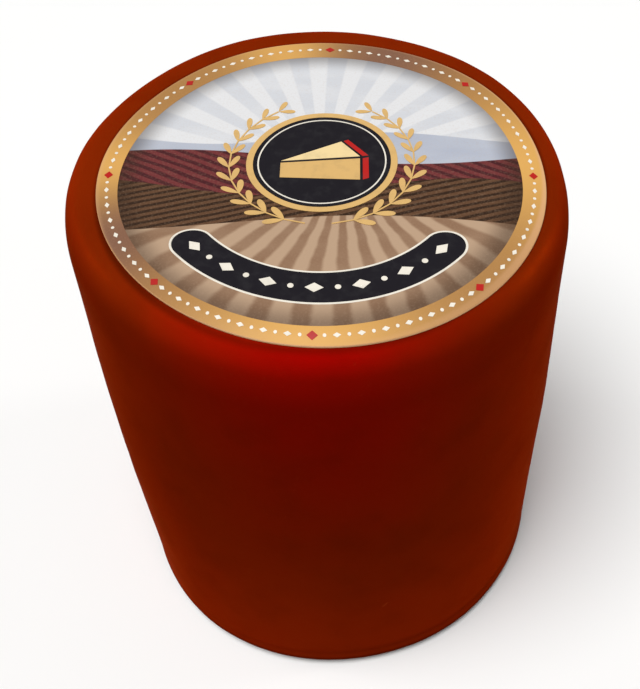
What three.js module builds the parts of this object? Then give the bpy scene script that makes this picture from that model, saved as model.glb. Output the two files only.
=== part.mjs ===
// A whole cheddar truckle in a coat of red wax, with a round paper label laid on its top.
// Units are millimetres, +Z is up, and the origin is the middle of the base.
import * as THREE from "three";

// Driving dimensions of the truckle
const RADIUS = 65; // where the shoulder meets the wall
const HEIGHT = 151.5; // base to the middle of the top
const BASE_RADIUS = 63.8; // the mould's draft takes a little off the foot
const SHOULDER_DROP = 14.7; // height over which the top turns down into the wall
const SHOULDER_POWER = 19; // how squarely it turns: a higher power keeps more of the top flat
const FOOT_ROUNDING = 4.5; // radius between the wall and the base
const BELLY = 0.9; // how far the wall stands out half way up

// Driving dimensions of the label
const LABEL_RADIUS = 56;
const LABEL_THICKNESS = 0.4;
const LABEL_GAP = 0.2; // clearance to the wax below, which holds the paste
const LABEL_OFFSET = new THREE.Vector2(1.5, -4.9); // laid by hand, a little towards the front

// Slow swells left by the hand dipping: lobes round the girth, their height in millimetres, the
// direction of the first lobe in degrees, and how far it turns from base to top in degrees
const GIRTH_SWELLS = [
  { lobes: 3, rise: 0.36, toward: -11, turn: 85 },
  { lobes: 2, rise: 0.5, toward: 98, turn: -128 },
  { lobes: 5, rise: 0.15, toward: 20, turn: -50 },
];
const TOP_SWELL = 0.35; // depth of the shallow waves across the top
const TOP_SWELL_LENGTH = 95; // distance between two of those waves

// Fineness of the faceted solids
const ROUND_STEPS = 84;
const TOP_STEPS = 16;
const WALL_STEPS = 12;
const FOOT_STEPS = 5;
const LABEL_STEPS = 9;

const WAX = { color: 0x7a1a06, roughness: 0.42, metalness: 0 };
const PRINTED_PAPER = { color: 0xb98a4e, roughness: 0.45, metalness: 0 };

const SHOULDER_HEIGHT = HEIGHT - SHOULDER_DROP;

/** Height of the top at a distance from the axis: flat in the middle, turning down at the shoulder. */
function topHeight(distance) {
  const share = Math.min(distance / RADIUS, 1);
  return SHOULDER_HEIGHT + SHOULDER_DROP * Math.sqrt(1 - share ** SHOULDER_POWER);
}

/** Point of the wall's outline at a share of the way up: a slight taper with a belly half way. */
function wallPoint(share) {
  const distance = THREE.MathUtils.lerp(BASE_RADIUS, RADIUS, share) + BELLY * Math.sin(Math.PI * share) ** 2;
  return new THREE.Vector2(distance, THREE.MathUtils.lerp(FOOT_ROUNDING, SHOULDER_HEIGHT, share));
}

/** How far the wax stands out from a true round at an angle and a height. */
function girthSwell(angle, height) {
  const level = height / HEIGHT;
  return GIRTH_SWELLS.reduce((sum, { lobes, rise, toward, turn }) => {
    const first = THREE.MathUtils.degToRad(toward + turn * level);
    return sum + rise * Math.cos(lobes * (angle - first));
  }, 0);
}

/** Moves a point of the true round form to where the hand-made form has it. */
function settle(point) {
  const angle = Math.atan2(point.y, point.x);
  const level = point.z / HEIGHT;
  const stretch = 1 + girthSwell(angle, point.z) / RADIUS;
  const wave = (2 * Math.PI) / TOP_SWELL_LENGTH;
  const dip = TOP_SWELL * Math.sin(wave * point.x) * Math.cos(wave * point.y);
  point.x *= stretch;
  point.y *= stretch;
  point.z += dip * level ** 6;
  return point;
}

/** Runs every vertex of a geometry through a function that moves a point. */
function moveVertices(geometry, move) {
  const position = geometry.getAttribute("position");
  const point = new THREE.Vector3();
  for (let i = 0; i < position.count; i++) {
    move(point.fromBufferAttribute(position, i));
    position.setXYZ(i, point.x, point.y, point.z);
  }
  geometry.computeVertexNormals();
  return geometry;
}

/** Revolves a profile of (distance from the axis, height) about +Z. */
function revolve(profile) {
  return new THREE.LatheGeometry(profile, ROUND_STEPS).rotateX(Math.PI / 2);
}

/** Distances from 0 to an outer one, closer together towards the outside. */
function outwardSteps(outer, count) {
  return Array.from({ length: count + 1 }, (_, i) => outer * Math.sin((i / count) * (Math.PI / 2)));
}

/** Half outline of the truckle, from the middle of the base round to the middle of the top. */
function truckleProfile() {
  const foot = new THREE.EllipseCurve(
    BASE_RADIUS - FOOT_ROUNDING,
    FOOT_ROUNDING,
    FOOT_ROUNDING,
    FOOT_ROUNDING,
    -Math.PI / 2,
    0,
  );
  const wall = Array.from({ length: WALL_STEPS - 1 }, (_, i) => wallPoint((i + 1) / WALL_STEPS));
  const top = outwardSteps(RADIUS, TOP_STEPS)
    .reverse()
    .map((distance) => new THREE.Vector2(distance, topHeight(distance)));
  return [
    new THREE.Vector2(0, 0),
    ...foot.getPoints(FOOT_STEPS),
    ...wall,
    ...top,
  ];
}

/** The cheese in its wax: one solid with a flat base. */
function makeCheese() {
  const geometry = moveVertices(revolve(truckleProfile()), settle);
  const mesh = new THREE.Mesh(geometry, new THREE.MeshStandardMaterial(WAX));
  mesh.name = "waxed_cheese";
  return mesh;
}

/** The label: a thin disc that follows the top a small gap above it. */
function makeLabel() {
  const steps = outwardSteps(LABEL_RADIUS, LABEL_STEPS);
  const underside = steps.map((distance) => new THREE.Vector2(distance, 0));
  const face = steps.map((distance) => new THREE.Vector2(distance, LABEL_THICKNESS)).reverse();
  const geometry = moveVertices(revolve([...underside, ...face]), (point) => {
    point.x += LABEL_OFFSET.x;
    point.y += LABEL_OFFSET.y;
    point.z += topHeight(Math.hypot(point.x, point.y)) + LABEL_GAP;
    settle(point);
  });
  const mesh = new THREE.Mesh(geometry, new THREE.MeshStandardMaterial(PRINTED_PAPER));
  mesh.name = "label";
  return mesh;
}

/** Cheese and label together, with the middle of the cheese's width and depth on the Z axis. */
function makeTruckle() {
  const cheese = makeCheese();
  const truckle = new THREE.Group();
  truckle.add(cheese, makeLabel());
  const middle = new THREE.Box3().setFromObject(cheese).getCenter(new THREE.Vector3());
  truckle.position.set(-middle.x, -middle.y, 0);
  return truckle;
}

export default makeTruckle();
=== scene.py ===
"""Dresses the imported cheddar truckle: its wax coat, its printed label, a pale floor, light and a camera.

Lengths in the classes are millimetres and angles are degrees. They become metres and radians where
a mesh, a bump, a light or the camera is written.
"""

import logging
import math
from dataclasses import dataclass, field
from enum import Enum
from functools import cached_property
from typing import Any, Optional, Sequence, Union

import bmesh
import bpy
import numpy as np
from mathutils import Matrix, Vector, noise


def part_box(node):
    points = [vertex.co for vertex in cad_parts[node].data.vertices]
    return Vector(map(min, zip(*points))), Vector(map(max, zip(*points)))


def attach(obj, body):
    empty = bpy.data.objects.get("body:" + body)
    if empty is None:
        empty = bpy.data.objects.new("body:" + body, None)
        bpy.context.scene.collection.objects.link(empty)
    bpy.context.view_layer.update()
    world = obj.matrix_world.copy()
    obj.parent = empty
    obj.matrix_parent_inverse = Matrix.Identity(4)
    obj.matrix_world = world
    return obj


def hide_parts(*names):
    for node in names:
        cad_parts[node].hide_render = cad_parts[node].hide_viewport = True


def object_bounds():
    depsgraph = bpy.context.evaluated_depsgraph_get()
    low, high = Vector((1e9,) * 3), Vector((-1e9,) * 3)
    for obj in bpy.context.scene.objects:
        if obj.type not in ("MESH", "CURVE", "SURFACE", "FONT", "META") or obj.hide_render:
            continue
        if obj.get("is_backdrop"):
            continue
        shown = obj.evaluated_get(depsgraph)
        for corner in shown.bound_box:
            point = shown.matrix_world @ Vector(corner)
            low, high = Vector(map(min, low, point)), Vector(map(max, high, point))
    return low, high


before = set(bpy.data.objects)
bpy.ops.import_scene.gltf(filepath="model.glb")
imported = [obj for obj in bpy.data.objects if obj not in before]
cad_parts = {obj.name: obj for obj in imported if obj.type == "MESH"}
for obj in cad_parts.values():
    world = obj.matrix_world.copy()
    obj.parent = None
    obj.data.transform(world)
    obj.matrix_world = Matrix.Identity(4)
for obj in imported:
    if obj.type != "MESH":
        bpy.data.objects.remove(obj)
CAD_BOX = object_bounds()

LOG = logging.getLogger("truckle")
MM = 0.001
IMAGE_HEIGHT = 689
BODY = "root"
CHEESE_NODE = "waxed_cheese"
LABEL_NODE = "label"
BAKE_MAP = "OFBake"
MERGE_DISTANCE = 0.001  # points of a mesh closer than this are one
CREASE_ANGLE = 35.0  # an edge that turns by more than this stays sharp
FACE_UP = 0.5  # a face whose normal rises by more than this belongs to the upper side

Key = Union[str, int]
Pair = tuple[float, float]
Triple = tuple[float, float, float]
Colour = Triple
Pairs = tuple[Pair, ...]
Operand = Union["Signal", float, Sequence[float]]
Measure = Union[float, np.ndarray]
Material = bpy.types.Material
Piece = bpy.types.Object


def srgb(*shares: float) -> Colour:
    """A screen's red, green and blue of 0 to 255 as a shader's linear colour."""
    levels = np.array(shares) / 255
    return tuple(np.where(levels <= 0.04045, levels / 12.92, ((levels + 0.055) / 1.055) ** 2.4).tolist())


class Slot(Enum):
    """The record's material slots."""

    WAX = "wax"
    PAPER = "printed_paper"


class Ink(Enum):
    """The inks of the label, as screen colours."""

    NIGHT = (27, 24, 30)
    CREAM = (240, 233, 218)
    GOLD = (219, 178, 112)
    PALE_GOLD = (240, 214, 158)
    CHERRY = (186, 34, 30)

    @property
    def linear(self) -> Colour:
        """The ink's colour for a shader."""
        return srgb(*self.value)


class Signal:
    """A shader socket that takes part in Python expressions. Each operator adds a Math node."""

    def __init__(self, sheet: "NodeSheet", socket: Optional[bpy.types.NodeSocket]) -> None:
        """Keeps the socket and the sheet that it is on."""
        self.sheet = sheet
        self.socket = socket

    def math(self, operation: str, *others: Operand) -> "Signal":
        """Adds a Math node on this value and the others, in that order."""
        return self.sheet.math(operation, self, *others)

    def __add__(self, other: Operand) -> "Signal":
        """Sum."""
        return self.math("ADD", other)

    def __sub__(self, other: Operand) -> "Signal":
        """Difference."""
        return self.math("SUBTRACT", other)

    def __rsub__(self, other: Operand) -> "Signal":
        """Difference from a number."""
        return self.sheet.math("SUBTRACT", other, self)

    def __mul__(self, other: Operand) -> "Signal":
        """Product."""
        return self.math("MULTIPLY", other)

    def __truediv__(self, other: Operand) -> "Signal":
        """Quotient."""
        return self.math("DIVIDE", other)

    def __rtruediv__(self, other: Operand) -> "Signal":
        """Quotient of a number by this value."""
        return self.sheet.math("DIVIDE", other, self)

    def __pow__(self, other: Operand) -> "Signal":
        """Power."""
        return self.math("POWER", other)

    __radd__ = __add__
    __rmul__ = __mul__

    def at_least(self, floor: Operand) -> "Signal":
        """The larger of this value and another."""
        return self.math("MAXIMUM", floor)

    def size(self) -> "Signal":
        """This value without its sign."""
        return self.math("ABSOLUTE")

    def sine(self) -> "Signal":
        """Sine of this value in radians."""
        return self.math("SINE")

    def root(self) -> "Signal":
        """Square root."""
        return self.math("SQRT")

    def swing(self, width: float) -> "Signal":
        """A noise, which lies around 0.5, as a swing of a given width around 0."""
        return (self - 0.5) * width


class NodeSheet:
    """The node sheet of one material."""

    def __init__(self, name: str) -> None:
        """Makes the material with an empty sheet."""
        self.material = bpy.data.materials.new(name)
        self.material.use_nodes = True
        self.material.node_tree.nodes.clear()

    @cached_property
    def place(self) -> Signal:
        """The point on the object, in millimetres."""
        return self.stretch(self.add("ShaderNodeTexCoord", {}, {}, "Object"), (1 / MM,) * 3)

    @cached_property
    def axes(self) -> tuple[Signal, Signal, Signal]:
        """The point's place to the right, to the back and up."""
        split = self.add("ShaderNodeSeparateXYZ", {}, {0: self.place}).socket.node
        return tuple(Signal(self, socket) for socket in split.outputs)

    def add(
        self, kind: str, settings: dict[str, Any], values: dict[Key, Operand], output: Key = 0
    ) -> Signal:
        """Adds one node.

        Args:
            kind: The node's type.
            settings: The node's own options, set before its sockets.
            values: Numbers, colours or signals, by the name or number of the input socket.
            output: Name or number of the output socket to hand back.

        Returns:
            The output socket as a signal.
        """
        tree = self.material.node_tree
        node = tree.nodes.new(kind)
        for option, choice in settings.items():
            setattr(node, option, choice)
        for key, value in values.items():
            socket = node.inputs[key]
            if isinstance(value, Signal):
                tree.links.new(value.socket, socket)
            elif socket.type == "RGBA":
                socket.default_value = (*value, 1.0)
            else:
                socket.default_value = value
        return Signal(self, node.outputs[output] if len(node.outputs) else None)

    def math(self, operation: str, *values: Operand) -> Signal:
        """Adds a Math node on up to three values."""
        return self.add("ShaderNodeMath", {"operation": operation}, dict(enumerate(values)))

    def mix(self, share: Operand, under: Operand, over: Operand) -> Signal:
        """Mixes two colours: the share is that of the second."""
        settings = {"data_type": "RGBA", "clamp_factor": True}
        return self.add("ShaderNodeMix", settings, {0: share, 6: under, 7: over}, 2)

    def distance(self, vector: Signal, point: Sequence[float]) -> Signal:
        """Distance from a vector to a fixed point."""
        settings = {"operation": "DISTANCE"}
        return self.add("ShaderNodeVectorMath", settings, {0: vector, 1: point}, "Value")

    def stretch(self, vector: Signal, factors: Sequence[float]) -> Signal:
        """A vector with each axis scaled."""
        return self.add("ShaderNodeVectorMath", {"operation": "MULTIPLY"}, {0: vector, 1: factors})

    def bump(self, height: Signal, depth: float) -> Signal:
        """A normal from a height of 0 to 1 that stands for a depth in millimetres."""
        return self.add("ShaderNodeBump", {}, {"Height": height, "Distance": depth * MM, "Strength": 1.0})

    def coat(self, **values: Operand) -> Material:
        """Ends the sheet in a Principled shader.

        Args:
            **values: The shader's sockets, with _ for a space.

        Returns:
            The finished material.
        """
        named = {name.replace("_", " "): value for name, value in values.items()}
        shader = self.add("ShaderNodeBsdfPrincipled", {}, named)
        self.add("ShaderNodeOutputMaterial", {}, {"Surface": shader})
        return self.material


def facing(right: Signal, back: Signal, toward: float) -> Signal:
    """How far a place lies in a direction, which is given in degrees."""
    angle = math.radians(toward)
    return right * math.cos(angle) + back * math.sin(angle)


@dataclass(frozen=True)
class Fade:
    """A smooth step on a value: 0 at its start and its strength at its end, which may be the lower."""

    start: float
    end: float
    strength: float = 1.0

    def of(self, value: Signal) -> Signal:
        """The step on a value, which is in the unit of the two ends."""
        ends = {"Value": value, "From Min": self.start, "From Max": self.end, "To Max": self.strength}
        return value.sheet.add("ShaderNodeMapRange", {"interpolation_type": "SMOOTHSTEP"}, ends)


@dataclass(frozen=True)
class Cloud:
    """Soft noise around 0.5: the size of its patches, its finer layers and its squeeze on each axis."""

    grain: float
    layers: float = 2.0
    squeeze: Triple = (1.0, 1.0, 1.0)

    def on(self, sheet: NodeSheet) -> Signal:
        """The noise over the object."""
        spot = sheet.stretch(sheet.place, [factor / self.grain for factor in self.squeeze])
        return sheet.add("ShaderNodeTexNoise", {}, {"Vector": spot, "Scale": 1.0, "Detail": self.layers})


@dataclass(frozen=True)
class WaxFinish:
    """Satin dipping wax: brick brown, painted shade on the wall, a painted red highlight on the front
    shoulder.

    The ends of a fade are millimetres of height or distance, or levels of a noise.
    """

    label_centre: Pair
    label_radius: float
    groove_height: float
    groove_toward: float
    brick: Colour = srgb(139, 40, 4)
    # painted highlight: the bright pure red of the patch on the front shoulder
    highlight_red: Colour = srgb(188, 4, 2)
    # dark wax: random mottle, and painted shade on the wall, in the groove and at the foot
    dark_mottle_and_shade: Colour = srgb(50, 9, 0)
    # painted shadow on the wax round the label's edge
    label_shadow: Colour = srgb(54, 12, 1)
    scuff: Colour = srgb(150, 66, 40)
    drift: Cloud = Cloud(52.0, 3)
    drift_veil: Fade = Fade(0.4, 0.75, 0.12)
    mottle: Cloud = Cloud(13.0, 3)
    mottle_veil: Fade = Fade(0.45, 0.75, 0.1)
    speck: Cloud = Cloud(1.3)
    speck_veil: Fade = Fade(0.62, 0.8, 0.06)
    painted_highlight: Fade = Fade(92.0, 0.0)  # distance from the middle of the painted highlight
    highlight_squeeze: Triple = (1.6, 1.0, 1.0)
    highlight_centre: Triple = (3.2, -66.0, 141.0)  # as squeezed
    highlight_drift: float = 26.0  # how uneven the patch's edge is
    wall: Fade = Fade(150.3, 141.0)  # height over which the top turns into the wall
    # painted shade: how much darker the wall is than the top, and where
    wall_shade: float = 0.45
    above_foot: Fade = Fade(8.0, 80.0)
    upper_shade: float = 0.06
    below_shoulder: Fade = Fade(144.5, 129.0)
    belt_shade: float = 0.19
    highlight_wall_shade: float = 0.1
    side: Fade = Fade(36.0, 62.0)  # distance to the left or right, where painted light makes the wall lighter
    side_height: Fade = Fade(142.0, 122.0)
    painted_side_light: float = 0.18
    shoulder_shade: Fade = Fade(38.0, 62.0)  # distance towards a stretch of the shoulder with painted shade
    shoulder_shade_lobes: Pairs = ((-42.0, 0.25), (-132.0, 0.16))  # direction and strength
    groove_shade: Fade = Fade(3.2, 0.0)  # distance above or below the groove
    groove_shade_side: Fade = Fade(-20.0, 60.0, 0.26)
    foot_shade: Fade = Fade(6.0, 3.2, 0.75)
    scratch_middle: Pair = (16.7, 36.0)
    scratch_toward: float = 52.0
    scratch_length: Fade = Fade(1.6, 0.8)
    scratch_width: Fade = Fade(0.35, 0.0)
    scratch_front: Fade = Fade(0.0, -50.0, 0.35)
    label_shadow_edge: Fade = Fade(1.6, 0.0, 0.6)  # distance from the label's edge
    roughness: float = 0.46
    mottle_swing: float = 0.16
    speck_swing: float = 0.1
    relief: float = 0.08
    mottle_share: float = 0.75
    speck_share: float = 0.25

    def thickness(self, sheet: NodeSheet, drift: Signal) -> Signal:
        """Share of the painted red highlight: 1 at the patch's middle, 0 beyond its edge, which drifts."""
        away = sheet.distance(sheet.stretch(sheet.place, self.highlight_squeeze), self.highlight_centre)
        return self.painted_highlight.of(away + drift.swing(self.highlight_drift))

    def paint_wall_shade(self, sheet: NodeSheet, colour: Signal, painted_highlight: Signal, wall: Signal) -> Signal:
        """Paints shade: darkens the wall, most in a belt below the shoulder and less at the sides, and two
        stretches of the shoulder.

        Args:
            sheet: The node sheet.
            colour: The colour so far.
            painted_highlight: Share of the painted red highlight.
            wall: Share of the wall: 0 on the top.

        Returns:
            The colour with its painted shade.
        """
        x, y, z = sheet.axes
        upper = self.above_foot.of(z)
        belt = upper * self.below_shoulder.of(z)
        low = self.side_height.of(z)
        side = self.side.of(x.size()) * low
        # painted shade: the wall darker than the top, most in the belt and on the highlight, less at the
        # sides
        depth = self.wall_shade + upper * self.upper_shade + belt * self.belt_shade
        depth = depth + painted_highlight * self.highlight_wall_shade - side * self.painted_side_light
        colour = sheet.mix(wall * depth, colour, self.dark_mottle_and_shade)
        # painted shade on two stretches of the shoulder
        for toward, strength in self.shoulder_shade_lobes:
            shoulder_shade = self.shoulder_shade.of(facing(x, y, toward)) * (1 - low)
            colour = sheet.mix(shoulder_shade * strength, colour, self.dark_mottle_and_shade)
        return colour

    def scratch(self, sheet: NodeSheet) -> Signal:
        """One faint scratch low on the front.

        Args:
            sheet: The node sheet.

        Returns:
            The scratch's strength along it and 0 elsewhere.
        """
        x, y, z = sheet.axes
        right, up = x - self.scratch_middle[0], z - self.scratch_middle[1]
        along = facing(right, up, self.scratch_toward).size()
        across = facing(right, up, self.scratch_toward + 90).size()
        return self.scratch_length.of(along) * self.scratch_width.of(across) * self.scratch_front.of(y)

    def mark(self, sheet: NodeSheet, colour: Signal, wall: Signal) -> Signal:
        """Adds painted shade in the groove and at the foot, the scratch, and a painted shadow round the
        label.

        Args:
            sheet: The node sheet.
            colour: The colour so far.
            wall: Share of the wall: 0 on the top.

        Returns:
            The marked colour.
        """
        x, y, z = sheet.axes
        # painted shade in the groove above the foot
        line = self.groove_shade.of((z - self.groove_height).size())
        line = line * self.groove_shade_side.of(facing(x, y, self.groove_toward))
        colour = sheet.mix(line, colour, self.dark_mottle_and_shade)
        colour = sheet.mix(self.foot_shade.of(z), colour, self.dark_mottle_and_shade)
        colour = sheet.mix(self.scratch(sheet), colour, self.scuff)
        # painted shadow on the top round the label's edge
        seen_from_above = sheet.stretch(sheet.place, (1.0, 1.0, 0.0))
        from_edge = sheet.distance(seen_from_above, (*self.label_centre, 0.0)) - self.label_radius
        return sheet.mix(self.label_shadow_edge.of(from_edge) * (1 - wall), colour, self.label_shadow)

    def make(self) -> Material:
        """Builds the wax material.

        Returns:
            The material.
        """
        sheet = NodeSheet("dipping_wax")
        drift, mottle, speck = self.drift.on(sheet), self.mottle.on(sheet), self.speck.on(sheet)
        painted_highlight = self.thickness(sheet, drift)
        wall = self.wall.of(sheet.axes[2])
        # painted red highlight on the front shoulder and the upper front wall
        colour = sheet.mix(painted_highlight, self.brick, self.highlight_red)
        colour = self.paint_wall_shade(sheet, colour, painted_highlight, wall)
        colour = sheet.mix(self.drift_veil.of(drift), colour, self.dark_mottle_and_shade)
        colour = sheet.mix(self.mottle_veil.of(mottle), colour, self.dark_mottle_and_shade)
        colour = sheet.mix(self.speck_veil.of(speck), colour, self.scuff)
        colour = self.mark(sheet, colour, wall)
        return sheet.coat(
            Base_Color=colour,
            Roughness=self.roughness + mottle.swing(self.mottle_swing) + speck.swing(self.speck_swing),
            Normal=sheet.bump(mottle * self.mottle_share + speck * self.speck_share, self.relief),
            Metallic=0.25,
            Specular_IOR_Level=0.0,
            Specular_Tint=(0.95, 0.26, 0.03),
            Subsurface_Weight=0.1,
            Subsurface_Radius=(1.0, 0.15, 0.05),
            Subsurface_Scale=0.004,
        )


@dataclass(frozen=True)
class PrintSheen:
    """The sheen of a print: its roughness and how that swings, its grain's depth and its gloss."""

    roughness: float
    swing: float
    relief: float
    gloss: float

    def coat(self, sheet: NodeSheet, colour: Signal, grain: Signal) -> Material:
        """Ends a print's sheet with this sheen, over its colour and its fine grain."""
        rough, relief = self.roughness + grain.swing(self.swing), sheet.bump(grain, self.relief)
        return sheet.coat(Base_Color=colour, Roughness=rough, Normal=relief, Specular_IOR_Level=self.gloss)


@dataclass(frozen=True)
class InkFinish:
    """One printed ink with the slight mottle of a print run."""

    ink: Ink
    mottle: Cloud = Cloud(2.6, 3)
    mottle_veil: Fade = Fade(0.42, 0.8, 0.5)
    faded_share: float = 0.72
    faded_lift: float = 0.02
    grain: Cloud = Cloud(0.35)
    sheen: PrintSheen = PrintSheen(0.42, 0.16, 0.01, 0.22)

    def make(self) -> Material:
        """Builds the ink's material.

        Returns:
            The material.
        """
        sheet = NodeSheet(f"ink_{self.ink.name.lower()}")
        faded = tuple(self.faded_share * share + self.faded_lift for share in self.ink.linear)
        colour = sheet.mix(self.mottle_veil.of(self.mottle.on(sheet)), self.ink.linear, faded)
        return self.sheen.coat(sheet, colour, self.grain.on(sheet))


@dataclass(frozen=True)
class GoldBandFinish:
    """The gold edge band: bright in four stretches and mauve in two, as a brushed metal is.

    A lobe is the direction of a stretch's middle, and how narrow the stretch is.
    """

    centre: Pair
    outer: float
    tan: Colour = srgb(170, 124, 72)
    bright: Colour = srgb(222, 169, 91)
    mauve: Colour = srgb(122, 86, 72)
    rose: Colour = srgb(222, 172, 134)
    bright_lobes: Pairs = ((5, 9), (101, 26), (178, 24), (270, 10))
    mauve_lobes: Pairs = ((72, 14), (206, 20))
    mauve_share: float = 0.85
    rose_lobes: Pairs = ((12, 4),)
    rose_share: float = 0.2
    rose_lobe_share: float = 0.5
    rose_edge: Fade = Fade(-1.1, 0.0)  # distance from the band's outer edge
    grain: Cloud = Cloud(0.4)
    grain_veil: Fade = Fade(0.5, 0.8, 0.12)
    sheen: PrintSheen = PrintSheen(0.48, 0.12, 0.01, 0.2)

    def lobes(self, across: Signal, away: Signal, stretches: Pairs) -> Signal:
        """Soft stretches of the band at places on a unit circle: 1 in their middles, 0 beside them."""
        return sum(facing(across, away, toward).at_least(0.0) ** power for toward, power in stretches)

    def make(self) -> Material:
        """Builds the band's material.

        Returns:
            The material.
        """
        sheet = NodeSheet("gold_band")
        x, y, _ = sheet.axes
        u, v = x - self.centre[0], y - self.centre[1]
        reach = (u * u + v * v).root()
        across, away = u / reach, v / reach
        grain = self.grain.on(sheet)
        colour = sheet.mix(self.lobes(across, away, self.bright_lobes), self.tan, self.bright)
        mauve = self.lobes(across, away, self.mauve_lobes) * self.mauve_share
        colour = sheet.mix(mauve, colour, self.mauve)
        colour = sheet.mix(self.grain_veil.of(grain), colour, self.rose)
        rose = self.rose_share + self.lobes(across, away, self.rose_lobes) * self.rose_lobe_share
        colour = sheet.mix(self.rose_edge.of(reach - self.outer) * rose, colour, self.rose)
        return self.sheen.coat(sheet, colour, grain)


@dataclass(frozen=True)
class Crest:
    """A field's rolling upper edge: its mean height, how far it swings, a roll's length and its start."""

    base: float
    swing: float
    length: float
    start: float

    def height(self, u: Signal) -> Signal:
        """The edge's height at places across the label."""
        turn = u * (2 * math.pi / self.length) + math.radians(self.start)
        return turn.sine() * self.swing + self.base


@dataclass(frozen=True)
class Rows:
    """Straight rows on a field: their spacing, the direction across them, and how far they wander."""

    spacing: float
    toward: float
    wander: float
    edge: Fade

    def on(self, u: Signal, v: Signal, cloud: Signal) -> Signal:
        """The rows: 1 on them and 0 between."""
        phase = facing(u, v, self.toward) * (2 * math.pi / self.spacing)
        return self.edge.of((phase + cloud * self.wander).sine())


@dataclass(frozen=True)
class Rays:
    """Rays out of a point: the point, how many there are all round, and how far they wander."""

    point: Pair
    count: int
    wander: float
    edge: Fade

    def on(self, u: Signal, v: Signal, cloud: Signal) -> Signal:
        """The rays: the edge's strength on them and 0 between."""
        bearing = u.sheet.math("ARCTAN2", u - self.point[0], v - self.point[1])
        return self.edge.of((bearing * self.count + cloud * self.wander).sine())


@dataclass(frozen=True)
class PictureFinish:
    """The paper with its printed picture: a sunburst sky over rows of fields."""

    centre: Pair
    radius: float
    paper: Colour = srgb(196, 148, 100)
    sky: Colour = srgb(226, 226, 227)
    ray: Colour = srgb(196, 200, 208)
    haze: Colour = srgb(170, 176, 193)
    berry: Colour = srgb(112, 47, 48)
    berry_dark: Colour = srgb(74, 27, 32)
    soil: Colour = srgb(96, 66, 44)
    soil_dark: Colour = srgb(50, 30, 16)
    straw: Colour = srgb(186, 156, 128)
    straw_dark: Colour = srgb(128, 92, 66)
    cloud: Cloud = Cloud(9.0, 4, (0.45, 1.4, 1.0))
    cloud_veil: Fade = Fade(0.4, 0.7, 0.5)
    grain: Cloud = Cloud(0.5, 3)
    grain_veil: Fade = Fade(0.45, 0.8, 0.16)
    sunburst: Rays = Rays((0.0, 4.0), 26, 0.0, Fade(-0.25, 0.25, 0.55))
    crests: tuple[Crest, ...] = (
        Crest(15, 2.0, 84, 30),
        Crest(7.5, 3.2, 118, 200),
        Crest(-4, 3.0, 96, 310),
        Crest(-17, 2.6, 132, 60),
    )
    crest_edge: Fade = Fade(-0.12, 0.12)
    bushes: Rows = Rows(2.433, 63.43, 3.0, Fade(-0.3, 0.5))
    ploughing: Rows = Rows(1.925, 107.1, 3.0, Fade(-0.4, 0.6))
    stubble: Rays = Rays((6.0, 2.0), 34, -2.0, Fade(0.5, -0.6))
    stubble_share: float = 0.45
    stubble_cloud_share: float = 0.5
    hollow: Fade = Fade(-7.0, 0.6, 0.6)  # distance from the picture's edge
    cut_edge: Fade = Fade(1.0, 2.0)
    sheen: PrintSheen = PrintSheen(0.4, 0.15, 0.012, 0.35)

    def make(self) -> Material:
        """Builds the printed paper's material.

        Returns:
            The material.
        """
        sheet = NodeSheet("printed_picture")
        x, y, _ = sheet.axes
        u, v = x - self.centre[0], y - self.centre[1]
        cloud, grain = self.cloud.on(sheet), self.grain.on(sheet)
        colour = sheet.mix(self.sunburst.on(u, v, cloud), self.sky, self.ray)
        colour = sheet.mix(self.cloud_veil.of(cloud), colour, self.sky)

        stubble_share = self.stubble_share + cloud * self.stubble_cloud_share
        lands = (
            (cloud, self.haze, self.ray),
            (self.bushes.on(u, v, cloud), self.berry, self.berry_dark),
            (self.ploughing.on(u, v, cloud), self.soil, self.soil_dark),
            (self.stubble.on(u, v, cloud) * stubble_share, self.straw, self.straw_dark),
        )
        for crest, land in zip(self.crests, lands):
            below = self.crest_edge.of(crest.height(u) - v)
            colour = sheet.mix(below, colour, sheet.mix(*land))

        from_edge = (u * u + v * v).root() - self.radius
        colour = sheet.mix(self.hollow.of(from_edge), colour, self.soil_dark)
        colour = sheet.mix(self.grain_veil.of(grain), colour, self.straw)
        colour = sheet.mix(self.cut_edge.of(from_edge), colour, self.paper)
        return self.sheen.coat(sheet, colour, grain)


@dataclass(frozen=True)
class FloorFinish:
    """A plain pale floor."""

    tone: Colour = (0.93, 0.93, 0.92)
    faint: Colour = (0.902, 0.902, 0.892)
    cloud: Cloud = Cloud(140.0)

    def make(self) -> Material:
        """Builds the floor's material.

        Returns:
            The material.
        """
        sheet = NodeSheet("pale_floor")
        colour = sheet.mix(self.cloud.on(sheet), self.tone, self.faint)
        return sheet.coat(Base_Color=colour, Roughness=0.7, Specular_IOR_Level=0.2)


@dataclass(frozen=True)
class Swell:
    """One slow swell round the girth: its lobes, its height, its direction and its turn on the way up."""

    lobes: int
    rise: float
    toward: float
    turn: float

    def height(self, angle: np.ndarray, level: np.ndarray) -> np.ndarray:
        """How far it stands out, at angles in radians and levels of 0, the base, to 1, the top."""
        return self.rise * np.cos(self.lobes * (angle - np.radians(self.toward + self.turn * level)))


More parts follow.
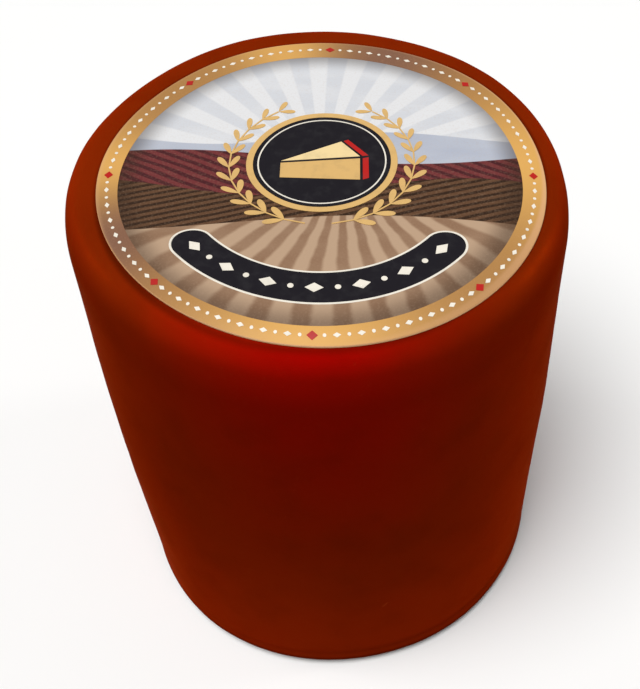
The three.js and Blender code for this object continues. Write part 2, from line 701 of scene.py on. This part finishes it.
@dataclass
class TruckleForm:
    """The hand-made drum that the wax coat and the label both follow."""

    radius: float = 65.0
    height: float = 151.5
    base_radius: float = 63.8
    shoulder_drop: float = 14.7
    shoulder_power: float = 19.0
    foot_rounding: float = 4.5
    belly: float = 0.9
    swells: tuple[Swell, ...] = (Swell(3, 0.36, -11, 85), Swell(2, 0.5, 98, -128), Swell(5, 0.15, 20, -50))
    top_swell: float = 0.35
    top_swell_length: float = 95.0
    top_swell_power: int = 6  # how quickly the top's swell dies away below it
    girth_samples: tuple[int, int] = (721, 83)
    shift: Sequence[float] = (0.0, 0.0)

    def __post_init__(self) -> None:
        """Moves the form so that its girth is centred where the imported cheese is."""
        round_count, wall_count = self.girth_samples
        toward, share = np.meshgrid(np.linspace(0, 360, round_count), np.linspace(0, 1, wall_count))
        reach, z = self.wall(share.ravel()).T
        girth = self.settle(np.column_stack([polar(reach, toward.ravel()), z]))
        low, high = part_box(CHEESE_NODE)
        middle = np.array((low + high) / 2)[:2] / MM
        self.shift = middle - (girth.min(0) + girth.max(0))[:2] / 2

    @property
    def shoulder_height(self) -> float:
        """Height where the wall ends and the shoulder begins."""
        return self.height - self.shoulder_drop

    def wall(self, share: np.ndarray) -> np.ndarray:
        """The wall's outline, a slight taper with a belly.

        Args:
            share: Shares of the way up.

        Returns:
            Rows of distance from the axis and height.
        """
        taper = self.base_radius + (self.radius - self.base_radius) * share
        rise = self.foot_rounding + (self.shoulder_height - self.foot_rounding) * share
        return np.stack([taper + self.belly * np.sin(math.pi * share) ** 2, rise], 1)

    def top_height(self, distance: np.ndarray) -> np.ndarray:
        """Height of the top at distances from the axis."""
        share = np.minimum(distance / self.radius, 1)
        return self.shoulder_height + self.shoulder_drop * np.sqrt(1 - share**self.shoulder_power)

    def settle(self, points: np.ndarray) -> np.ndarray:
        """Moves points of the true round form to where the hand-made form has them.

        Args:
            points: Rows of x, y, z.

        Returns:
            The moved rows.
        """
        x, y, z = points.T
        level = z / self.height
        angle = np.arctan2(y, x)
        stretch = 1 + sum(swell.height(angle, level) for swell in self.swells) / self.radius
        wave = 2 * math.pi / self.top_swell_length
        dip = self.top_swell * np.sin(wave * x) * np.cos(wave * y) * level**self.top_swell_power
        return np.stack([x * stretch + self.shift[0], y * stretch + self.shift[1], z + dip], 1)


def write_mesh(name: str, points: np.ndarray, faces: Sequence[Sequence[int]]) -> Piece:
    """Makes a smooth mesh object, with points that coincide made one.

    Args:
        name: The object's name.
        points: Rows of x, y, z in millimetres.
        faces: Vertex numbers of each face.

    Returns:
        The object, in the scene.
    """
    mesh = bpy.data.meshes.new(name)
    mesh.from_pydata((points * MM).tolist(), [], faces)
    shaped = bmesh.new()
    shaped.from_mesh(mesh)
    bmesh.ops.remove_doubles(shaped, verts=shaped.verts, dist=MERGE_DISTANCE * MM)
    bmesh.ops.recalc_face_normals(shaped, faces=shaped.faces)
    shaped.to_mesh(mesh)
    shaped.free()
    mesh.shade_smooth()
    mesh.set_sharp_from_angle(angle=math.radians(CREASE_ANGLE))
    piece = bpy.data.objects.new(name, mesh)
    bpy.context.scene.collection.objects.link(piece)
    return piece


def grid_numbers(rows: int, columns: int, wrap: bool = True) -> np.ndarray:
    """Vertex numbers of a grid, row by row, with the first column again at the end if it wraps."""
    numbers = np.arange(rows * columns).reshape(rows, columns)
    return np.column_stack([numbers, numbers[:, 0]]) if wrap else numbers


def grid_faces(numbers: np.ndarray) -> list[list[int]]:
    """The vertex numbers of each face of a grid."""
    corners = (numbers[:-1, :-1], numbers[:-1, 1:], numbers[1:, 1:], numbers[1:, :-1])
    return np.stack(corners, -1).reshape(-1, 4).tolist()


def map_face(mesh: bpy.types.Mesh, face: float = 0.9, rest: float = 0.07, margin: float = 0.2) -> None:
    """Gives a flat piece its map for baking: its face over most of the square, the rest in a corner.

    Args:
        mesh: The piece's mesh.
        face: Share of the square's side that the face takes.
        rest: Share that the underside and the edges take.
        margin: How far those stay off the corner, as a share of their own size.
    """
    places = np.array([vertex.co[:2] for vertex in mesh.vertices])
    places -= places.min(0)
    places /= places.max()
    spots = mesh.uv_layers.new(name=BAKE_MAP).data
    for side in mesh.polygons:
        upper = side.normal.z > FACE_UP
        for corner in side.loop_indices:
            place = places[mesh.loops[corner].vertex_index]
            spots[corner].uv = place * face if upper else 1 - rest * (1 + margin - place)


def hand_over(piece: Piece, slot: Slot, material: Material, *nodes: str) -> None:
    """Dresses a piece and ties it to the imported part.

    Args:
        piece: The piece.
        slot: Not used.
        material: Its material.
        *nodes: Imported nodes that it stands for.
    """
    piece.data.materials.append(material)
    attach(piece, BODY)
    if nodes:
        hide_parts(*nodes)
    LOG.info("%s: %d faces, %s", piece.name, len(piece.data.polygons), material.name)


@dataclass
class WaxCoat:
    """The cheese in its dipped wax, with the soft relief that dipping leaves."""

    form: TruckleForm
    label: "PaperLabel"
    round_steps: int = 360
    base_steps: int = 8
    foot_steps: int = 10
    wall_steps: int = 130
    top_steps: int = 68
    waves: Pairs = ((0.18, 26.0), (0.055, 8.0))  # height and length of slow waves and ripples
    groove_depth: float = 0.2
    groove_height: float = 7.8
    groove_width: float = 2.6
    groove_toward: float = -35.0  # where the groove is deepest
    groove_mean: float = 0.55
    label_clear: Pair = (0.5, 4.0)  # beyond the label, where the relief begins and is full

    def profile(self) -> np.ndarray:
        """Half outline of the coat, from the middle of the base to that of the top.

        Returns:
            Rows of distance from the axis and height.
        """
        form = self.form
        inner, rounding = form.base_radius - form.foot_rounding, form.foot_rounding
        base = [(inner * i / self.base_steps, 0.0) for i in range(self.base_steps)]
        turns = np.linspace(0, math.pi / 2, self.foot_steps + 1)
        foot = np.stack([inner + rounding * np.sin(turns), rounding * (1 - np.cos(turns))], 1)
        wall = form.wall(np.linspace(0, 1, self.wall_steps + 1)[1:-1])
        reach = form.radius * np.sin(np.linspace(math.pi / 2, 0, self.top_steps + 1))
        top = np.stack([reach, form.top_height(reach)], 1)
        return np.vstack([base, foot, wall, top])

    def relief(self, points: np.ndarray, toward: np.ndarray) -> np.ndarray:
        """Height of the wax's own unevenness over the form. It fades out under the label and the base.

        Args:
            points: Rows of x, y, z.
            toward: Direction of each point.

        Returns:
            The height at each point.
        """
        height = np.zeros(len(points))
        for rise, length in self.waves:
            height += rise * np.array([noise.noise(Vector(point) / length) for point in points])
        z = points[:, 2]
        groove = np.exp(-(((z - self.groove_height) / self.groove_width) ** 2))
        lean = np.cos(np.radians(toward - self.groove_toward))
        height -= self.groove_depth * groove * (self.groove_mean + (1 - self.groove_mean) * lean)
        begin, full = self.label_clear
        from_label = np.hypot(*(points[:, :2] - self.label.offset).T) - self.label.radius
        top_share = np.clip((from_label - begin) / (full - begin), 0, 1)
        base_share = np.clip(z / self.form.foot_rounding, 0, 1)
        return height * np.where(z > self.form.shoulder_height, top_share, base_share)

    def build(self) -> Piece:
        """Builds the coat's closed mesh.

        Returns:
            The coat.
        """
        profile = self.profile()
        slope = np.gradient(profile, axis=0)
        outward = np.stack([slope[:, 1], -slope[:, 0]], 1)
        outward /= np.linalg.norm(outward, axis=1, keepdims=True)
        turn = np.linspace(90, 450, self.round_steps, endpoint=False)
        rows, toward = np.meshgrid(np.arange(len(profile)), turn, indexing="ij")
        rows, toward = rows.ravel(), toward.ravel()
        circle = polar(1.0, toward)
        points = np.column_stack([circle * profile[rows, :1], profile[rows, 1]])
        raised = self.relief(points, toward)[:, None]
        points = points + raised * np.column_stack([circle * outward[rows, :1], outward[rows, 1]])
        faces = grid_faces(grid_numbers(len(profile), self.round_steps))
        return write_mesh("wax_coat", self.form.settle(points), faces)

    def dress(self, coat: Piece) -> None:
        """Gives the coat its wax, with painted shade in the foot's groove and a painted shadow round the
        label.
        """
        finish = WaxFinish(self.label.centre, self.label.radius, self.groove_height, self.groove_toward)
        hand_over(coat, Slot.WAX, finish.make(), CHEESE_NODE)


@dataclass
class PaperLabel:
    """The round paper label that lies on the top and follows it."""

    form: TruckleForm
    radius: float = 56.0
    thickness: float = 0.4
    gap: float = 0.2
    offset: Pair = (1.5, -4.9)
    round_steps: int = 180
    ring_steps: int = 30

    @property
    def centre(self) -> Pair:
        """Middle of the label as it lies."""
        low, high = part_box(LABEL_NODE)
        return (low.x + high.x) / 2 / MM, (low.y + high.y) / 2 / MM

    def lay(self, flat: np.ndarray, lift: float) -> np.ndarray:
        """Lays points of the flat label on the top.

        Args:
            flat: Rows of right and away from the label's middle.
            lift: Their height over the label's underside.

        Returns:
            Rows of x, y, z.
        """
        placed = flat + self.offset
        z = self.form.top_height(np.hypot(*placed.T)) + self.gap + lift
        return self.form.settle(np.column_stack([placed, z]))

    def build(self) -> Piece:
        """Builds the paper.

        Returns:
            The paper.
        """
        layer = PrintLayer(self, 0.0, self.thickness)
        layer.disc(circle_outline(self.radius, self.round_steps), self.ring_steps)
        return layer.build("label_paper")

    def dress(self, paper: Piece, prints: "LabelPrint") -> None:
        """Prints the picture on the paper."""
        hand_over(paper, Slot.PAPER, PictureFinish(prints.centre, prints.band_inner).make(), LABEL_NODE)


def polar(radius: Measure, toward: Measure) -> np.ndarray:
    """Places at distances and directions, in degrees, from the origin."""
    angle = np.radians(toward)
    return np.stack([radius * np.cos(angle), radius * np.sin(angle)], -1)


def circle_outline(radius: float, steps: int) -> np.ndarray:
    """A round outline about the origin."""
    return polar(radius, np.linspace(0, 360, steps, endpoint=False))


def lozenge_outline(length: float, width: float) -> np.ndarray:
    """A lozenge along +x about the origin."""
    return np.array([(length / 2, 0), (0, width / 2), (-length / 2, 0), (0, -width / 2)])


def move(outline: np.ndarray, toward: float, place: Sequence[float]) -> np.ndarray:
    """Turns an outline by degrees and moves its origin to a place."""
    return outline @ polar(1.0, np.array([toward, toward + 90])) + place


@dataclass
class PrintLayer:
    """Flat shapes of one ink, each a thin closed solid laid on the label.

    The layer lies between two heights over the label's underside, with its middle at an offset.
    """

    label: PaperLabel
    low: float
    high: float
    offset: Pair = (0.0, 0.0)
    points: list[np.ndarray] = field(default_factory=list)
    faces: list[list[int]] = field(default_factory=list)

    def band(self, inner: np.ndarray, outer: np.ndarray, rings: int = 1, wrap: bool = True) -> None:
        """Adds the solid between two outlines of as many points.

        Args:
            inner: The inner outline, or its one point.
            outer: The outer outline.
            rings: Rows of faces from one to the other.
            wrap: Whether the outlines close on themselves.
        """
        shares = np.linspace(0, 1, rings + 1)[:, None, None]
        flat = (inner + (outer - inner) * shares).reshape(-1, 2) + self.offset
        size = len(flat)
        numbers = grid_numbers(rings + 1, len(outer), wrap) + sum(map(len, self.points))
        self.points += [self.label.lay(flat, lift) for lift in (self.low, self.high)]
        self.faces += grid_faces(numbers + size) + grid_faces(numbers[::-1])
        edges = [numbers[0], numbers[-1]]
        if not wrap:
            edges += [numbers[:, 0], numbers[:, -1]]
        for edge in edges:
            self.faces += grid_faces(np.stack([edge, edge + size]))

    def disc(self, outline: np.ndarray, rings: int = 1) -> None:
        """Adds a filled outline, in rings about its middle."""
        self.band(outline.mean(0), outline, rings)

    def build(self, name: str) -> Piece:
        """Writes the layer's mesh and its map for baking.

        Args:
            name: The piece's name.

        Returns:
            The piece.
        """
        piece = write_mesh(name, np.vstack(self.points), self.faces)
        map_face(piece.data)
        return piece


@dataclass
class LabelPrint:
    """The raised inks of the label: a gold edge band, a medallion, ears of grain and a dark arc."""

    label: PaperLabel
    offset: Pair = (-0.3, -1.2)
    ink_thickness: float = 0.05
    ink_sink: float = 0.03  # how far an ink reaches into what is below it
    band_inner: float = 50.25
    band_margin: float = 0.12
    band_rings: int = 4
    bead_count: int = 120
    bead_radius: float = 0.42
    bead_steps: int = 12
    bead_lozenge: Pair = (1.9, 1.15)
    red_spacing: int = 15  # beads from one red lozenge to the next
    red_lozenge: Pair = (2.6, 2.2)
    medallion: Pair = (0.0, 6.0)
    medallion_radius: float = 17.5
    medallion_steps: int = 72
    medallion_rings: int = 3
    rim_width: float = 1.7
    hairline_inset: float = 1.5
    hairline_width: float = 0.366
    ear_circle: float = 23.5
    ear_span: Pair = (262.0, 122.0)
    ear_pairs: int = 12
    stem_width: float = 0.4
    kernel: Pair = (5.4, 2.2)
    kernel_root: float = 0.2  # gap at its root, so that pairs don't touch
    kernel_taper: float = 0.8
    kernel_steps: int = 20
    kernel_lean: float = 32.0
    ear_taper: float = 0.25  # how much smaller the last kernels are
    wedge_top: Pairs = ((-10.5, 0.1), (9.6, 1.4), (4.6, 7.4))
    wedge_side: Pairs = ((-10.5, -0.6), (-10.5, -6.2), (9.6, -7.4), (9.6, 0.6))
    rind_side: Pairs = ((10.3, 0.6), (10.3, -7.4), (11.8, -6.8), (11.8, 1.0))
    rind_top: Pairs = ((10.3, 1.5), (11.8, 1.7), (6.4, 8.1), (5.2, 7.6))
    arc_radii: Pair = (33.5, 44.0)
    arc_span: Pair = (219.0, 321.0)
    arc_steps: tuple[int, int] = (12, 61)  # points on a round end and along the arc
    arc_rings: int = 3
    arc_tip: float = 0.01  # share of the width that is left at the very ends
    arc_border: float = 0.55  # of cream round the dark arc
    mark_count: int = 13
    mark_inset: float = 2.0
    mark_lozenge: Pair = (4.4, 3.0)
    mark_radius: float = 0.75
    mark_steps: int = 14

    @property
    def centre(self) -> Pair:
        """Middle of the print as it lies."""
        return self.label.centre[0] + self.offset[0], self.label.centre[1] + self.offset[1]

    def layer(self, depth: int) -> PrintLayer:
        """An empty ink layer, the given number of inks up from the paper."""
        top = self.label.thickness + self.ink_thickness * depth
        return PrintLayer(self.label, top - self.ink_thickness - self.ink_sink, top, self.offset)

    def gold_band(self, layer: PrintLayer) -> None:
        """Adds the gold edge band: it follows the print inside and the paper's cut outside."""
        outer = circle_outline(self.label.radius - self.band_margin, self.label.round_steps) - self.offset
        layer.band(circle_outline(self.band_inner, self.label.round_steps), outer, self.band_rings)

    def band_middle(self, toward: float) -> np.ndarray:
        """Middle of the gold band in a direction, from the print's middle."""
        outer = polar(self.label.radius, toward) - self.offset
        return (polar(self.band_inner, toward) + outer) / 2

    def circle(self, radius: float) -> np.ndarray:
        """A round outline about the medallion's middle."""
        return circle_outline(radius, self.medallion_steps) + self.medallion

    def arc(self, layer: PrintLayer, border: float = 0.0) -> None:
        """Adds the long arc with its round ends.

        Args:
            layer: The layer to fill.
            border: How much narrower it is than its radii on each side.
        """
        low, high = self.arc_radii
        middle = (low + high) / 2
        half = (high - low) / 2 - border
        cap = math.degrees(half / middle)
        start, end = self.arc_span[0] - cap, self.arc_span[1] + cap
        cap_steps, long_steps = self.arc_steps
        rounding = cap * (1 - np.cos(np.linspace(0, math.pi / 2, cap_steps)))
        straight = np.linspace(*self.arc_span, long_steps)[1:-1]
        turn = np.concatenate([start + rounding, straight, end - rounding[::-1]])
        from_end = np.minimum(turn - start, end - turn)
        share = np.sqrt(1 - (1 - np.minimum(from_end / cap, 1)) ** 2).clip(self.arc_tip)
        edges = (polar(middle + way * half * share, turn) for way in (-1, 1))
        layer.band(*edges, self.arc_rings, wrap=False)

    def night_print(self, layer: PrintLayer) -> None:
        """Adds the near-black medallion and arc."""
        layer.disc(self.circle(self.medallion_radius), self.medallion_rings)
        self.arc(layer, self.arc_border)

    def beads(self, layer: PrintLayer) -> None:
        """Adds beads round the gold band, marks along the arc and a hairline in the medallion.

        Args:
            layer: The layer to fill.
        """
        bead = circle_outline(self.bead_radius, self.bead_steps)
        for i in range(self.bead_count):
            if i % self.red_spacing:
                toward = 360 * i / self.bead_count
                outline = bead if i % 2 else lozenge_outline(*self.bead_lozenge)
                layer.disc(move(outline, toward + 90, self.band_middle(toward)))
        start, end = self.arc_span
        mark = circle_outline(self.mark_radius, self.mark_steps)
        places = np.linspace(start + self.mark_inset, end - self.mark_inset, self.mark_count)
        for i, toward in enumerate(places):
            outline = mark if i % 2 else lozenge_outline(*self.mark_lozenge)
            layer.disc(move(outline, toward + 90, polar(sum(self.arc_radii) / 2, toward)))
        hairline = self.medallion_radius - self.hairline_inset
        layer.band(self.circle(hairline), self.circle(hairline + self.hairline_width))

    def grain(self, size: float) -> np.ndarray:
        """A pointed grain outline along +x.

        Args:
            size: Share of its full size.

        Returns:
            Rows of x, y.
        """
        length, width = (side * size for side in self.kernel)
        turn = np.linspace(0, 2 * math.pi, self.kernel_steps, endpoint=False)
        along = self.kernel_root + length * (1 - np.cos(turn)) / 2
        across = width / 2 * np.sin(turn) * np.sin(turn / 2) ** self.kernel_taper
        return np.stack([along, across], 1)

    def ear(self, layer: PrintLayer, mirror: Pair) -> None:
        """Adds one ear of grain beside the medallion: a bent stem with kernels in pairs.

        Args:
            layer: The layer to fill.
            mirror: Factors that turn the left ear into the right one.
        """
        turn = np.linspace(*self.ear_span, self.ear_pairs)
        edges = (polar(self.ear_circle + way * self.stem_width / 2, turn) for way in (-1, 1))
        layer.band(*(edge * mirror + self.medallion for edge in edges), wrap=False)
        for i, toward in enumerate(turn[1:]):
            grain = self.grain(1.0 - self.ear_taper * i / self.ear_pairs)
            for lean in (-self.kernel_lean, self.kernel_lean):
                placed = move(grain, toward - 90 + lean, polar(self.ear_circle, toward))
                layer.disc(placed * mirror + self.medallion)

    def gold_print(self, layer: PrintLayer) -> None:
        """Adds the medallion's rim, the ears of grain and the wedge's side.

        Args:
            layer: The layer to fill.
        """
        layer.band(self.circle(self.medallion_radius), self.circle(self.medallion_radius + self.rim_width))
        for mirror in ((1, 1), (-1, 1)):
            self.ear(layer, mirror)
        layer.disc(np.array(self.wedge_side) + self.medallion)

    def pale_print(self, layer: PrintLayer) -> None:
        """Adds the pale top of the medallion's wedge."""
        layer.disc(np.array(self.wedge_top) + self.medallion)

    def cherry_print(self, layer: PrintLayer) -> None:
        """Adds the red lozenges of the gold band and the rind of the medallion's wedge.

        Args:
            layer: The layer to fill.
        """
        for i in range(0, self.bead_count, self.red_spacing):
            toward = 360 * i / self.bead_count
            layer.disc(move(lozenge_outline(*self.red_lozenge), toward + 90, self.band_middle(toward)))
        for outline in (self.rind_side, self.rind_top):
            layer.disc(np.array(outline) + self.medallion)

    def dress(self) -> None:
        """Builds every ink and gives it its finish."""
        gold = GoldBandFinish(self.label.centre, self.label.radius)
        inks = (
            ("label_gold_band", 1, self.gold_band, gold),
            ("label_cream_print", 1, self.arc, InkFinish(Ink.CREAM)),
            ("label_night_print", 2, self.night_print, InkFinish(Ink.NIGHT)),
            ("label_beads", 3, self.beads, InkFinish(Ink.CREAM)),
            ("label_gold_print", 3, self.gold_print, InkFinish(Ink.GOLD)),
            ("label_wedge_top", 3, self.pale_print, InkFinish(Ink.PALE_GOLD)),
            ("label_cherry_print", 3, self.cherry_print, InkFinish(Ink.CHERRY)),
        )
        for name, depth, fill, finish in inks:
            layer = self.layer(depth)
            fill(layer)
            hand_over(layer.build(name), Slot.PAPER, finish.make())


@dataclass(frozen=True)
class SoftLight:
    """One wide soft light, so far off that it lights the whole floor evenly."""

    name: str
    toward: Triple
    spread: float
    strength: float

    def build(self) -> None:
        """Hangs the light where it shines from its direction."""
        light = bpy.data.lights.new(self.name, "SUN")
        light.angle = math.radians(self.spread)
        light.energy = self.strength
        lamp = bpy.data.objects.new(self.name, light)
        lamp.rotation_euler = Vector(self.toward).to_track_quat("Z", "Y").to_euler()
        bpy.context.scene.collection.objects.link(lamp)


@dataclass
class Studio:
    """The pale floor, the soft light and the camera at the photo's angle."""

    floor_flat: float = 2500.0
    floor_reach: float = 12000.0
    floor_sweep: float = 800.0
    floor_steps: tuple[int, int] = (12, 72)
    sky: float = 0.15
    lights: tuple[SoftLight, ...] = (
        SoftLight("top_light", (-0.21, -0.25, 1.0), 38, 2.95),
        SoftLight("left_light", (-0.9, 0.18, 0.15), 12, 0.4),
        SoftLight("right_light", (0.9, 0.18, 0.15), 12, 0.85),
    )
    pitch: float = 49.05
    distance: float = 353.7
    aim: Triple = (20.77, 0.36, 80.76)
    focal_pixels: float = 1178.6
    shift_pixels: float = -78.9
    sensor: float = 36.0
    near_clip: float = 10.0

    def floor(self) -> None:
        """Lays the floor, which far out sweeps gently up, so that it fills the view."""
        rings, count = self.floor_steps
        shares = np.linspace(0, 1, rings)
        reach = self.floor_flat + (self.floor_reach - self.floor_flat) * shares
        circle = circle_outline(1.0, count)
        points = [
            np.column_stack([circle * far, np.full(count, self.floor_sweep * share**2)])
            for far, share in zip(reach, shares)
        ]
        faces = [range(count), *grid_faces(grid_numbers(rings, count))]
        floor = write_mesh("floor", np.vstack(points), faces)
        floor.data.materials.append(FloorFinish().make())
        floor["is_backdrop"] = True

    def light(self) -> None:
        """Sets the even sky and hangs the lights."""
        world = bpy.data.worlds.new("studio_sky")
        world.use_nodes = True
        background = world.node_tree.nodes["Background"]
        background.inputs["Color"].default_value = (1, 1, 1, 1)
        background.inputs["Strength"].default_value = self.sky
        scene = bpy.context.scene
        scene.world = world
        scene.view_settings.view_transform = "Standard"
        for light in self.lights:
            light.build()

    def camera(self) -> None:
        """Places the camera: pitched down from the front, with the picture cut left of its middle."""
        lens = bpy.data.cameras.new("camera")
        lens.sensor_width = self.sensor
        lens.lens = self.focal_pixels / IMAGE_HEIGHT * self.sensor
        lens.shift_x = self.shift_pixels / IMAGE_HEIGHT
        lens.clip_start = self.near_clip * MM
        camera = bpy.data.objects.new("camera", lens)
        tilt = Matrix.Rotation(math.radians(90 - self.pitch), 4, "X")
        place = (Vector(self.aim) + tilt @ Vector((0, 0, self.distance))) * MM
        camera.matrix_world = Matrix.Translation(place) @ tilt
        bpy.context.scene.collection.objects.link(camera)
        bpy.context.scene.camera = camera


def write_sizes() -> None:
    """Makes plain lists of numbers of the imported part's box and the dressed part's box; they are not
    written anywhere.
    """
    boxes = {"cad": CAD_BOX, "visual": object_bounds()}
    {name: [list(low), list(high)] for name, (low, high) in boxes.items()}


def main() -> None:
    """Builds the truckle and the studio round it."""
    logging.basicConfig(level=logging.INFO, format="%(message)s")
    form = TruckleForm()
    label = PaperLabel(form)
    coat = WaxCoat(form, label)
    coat.dress(coat.build())
    prints = LabelPrint(label)
    label.dress(label.build(), prints)
    prints.dress()
    studio = Studio()
    studio.floor()
    studio.light()
    studio.camera()
    write_sizes()


if __name__ == "__main__":
    main()
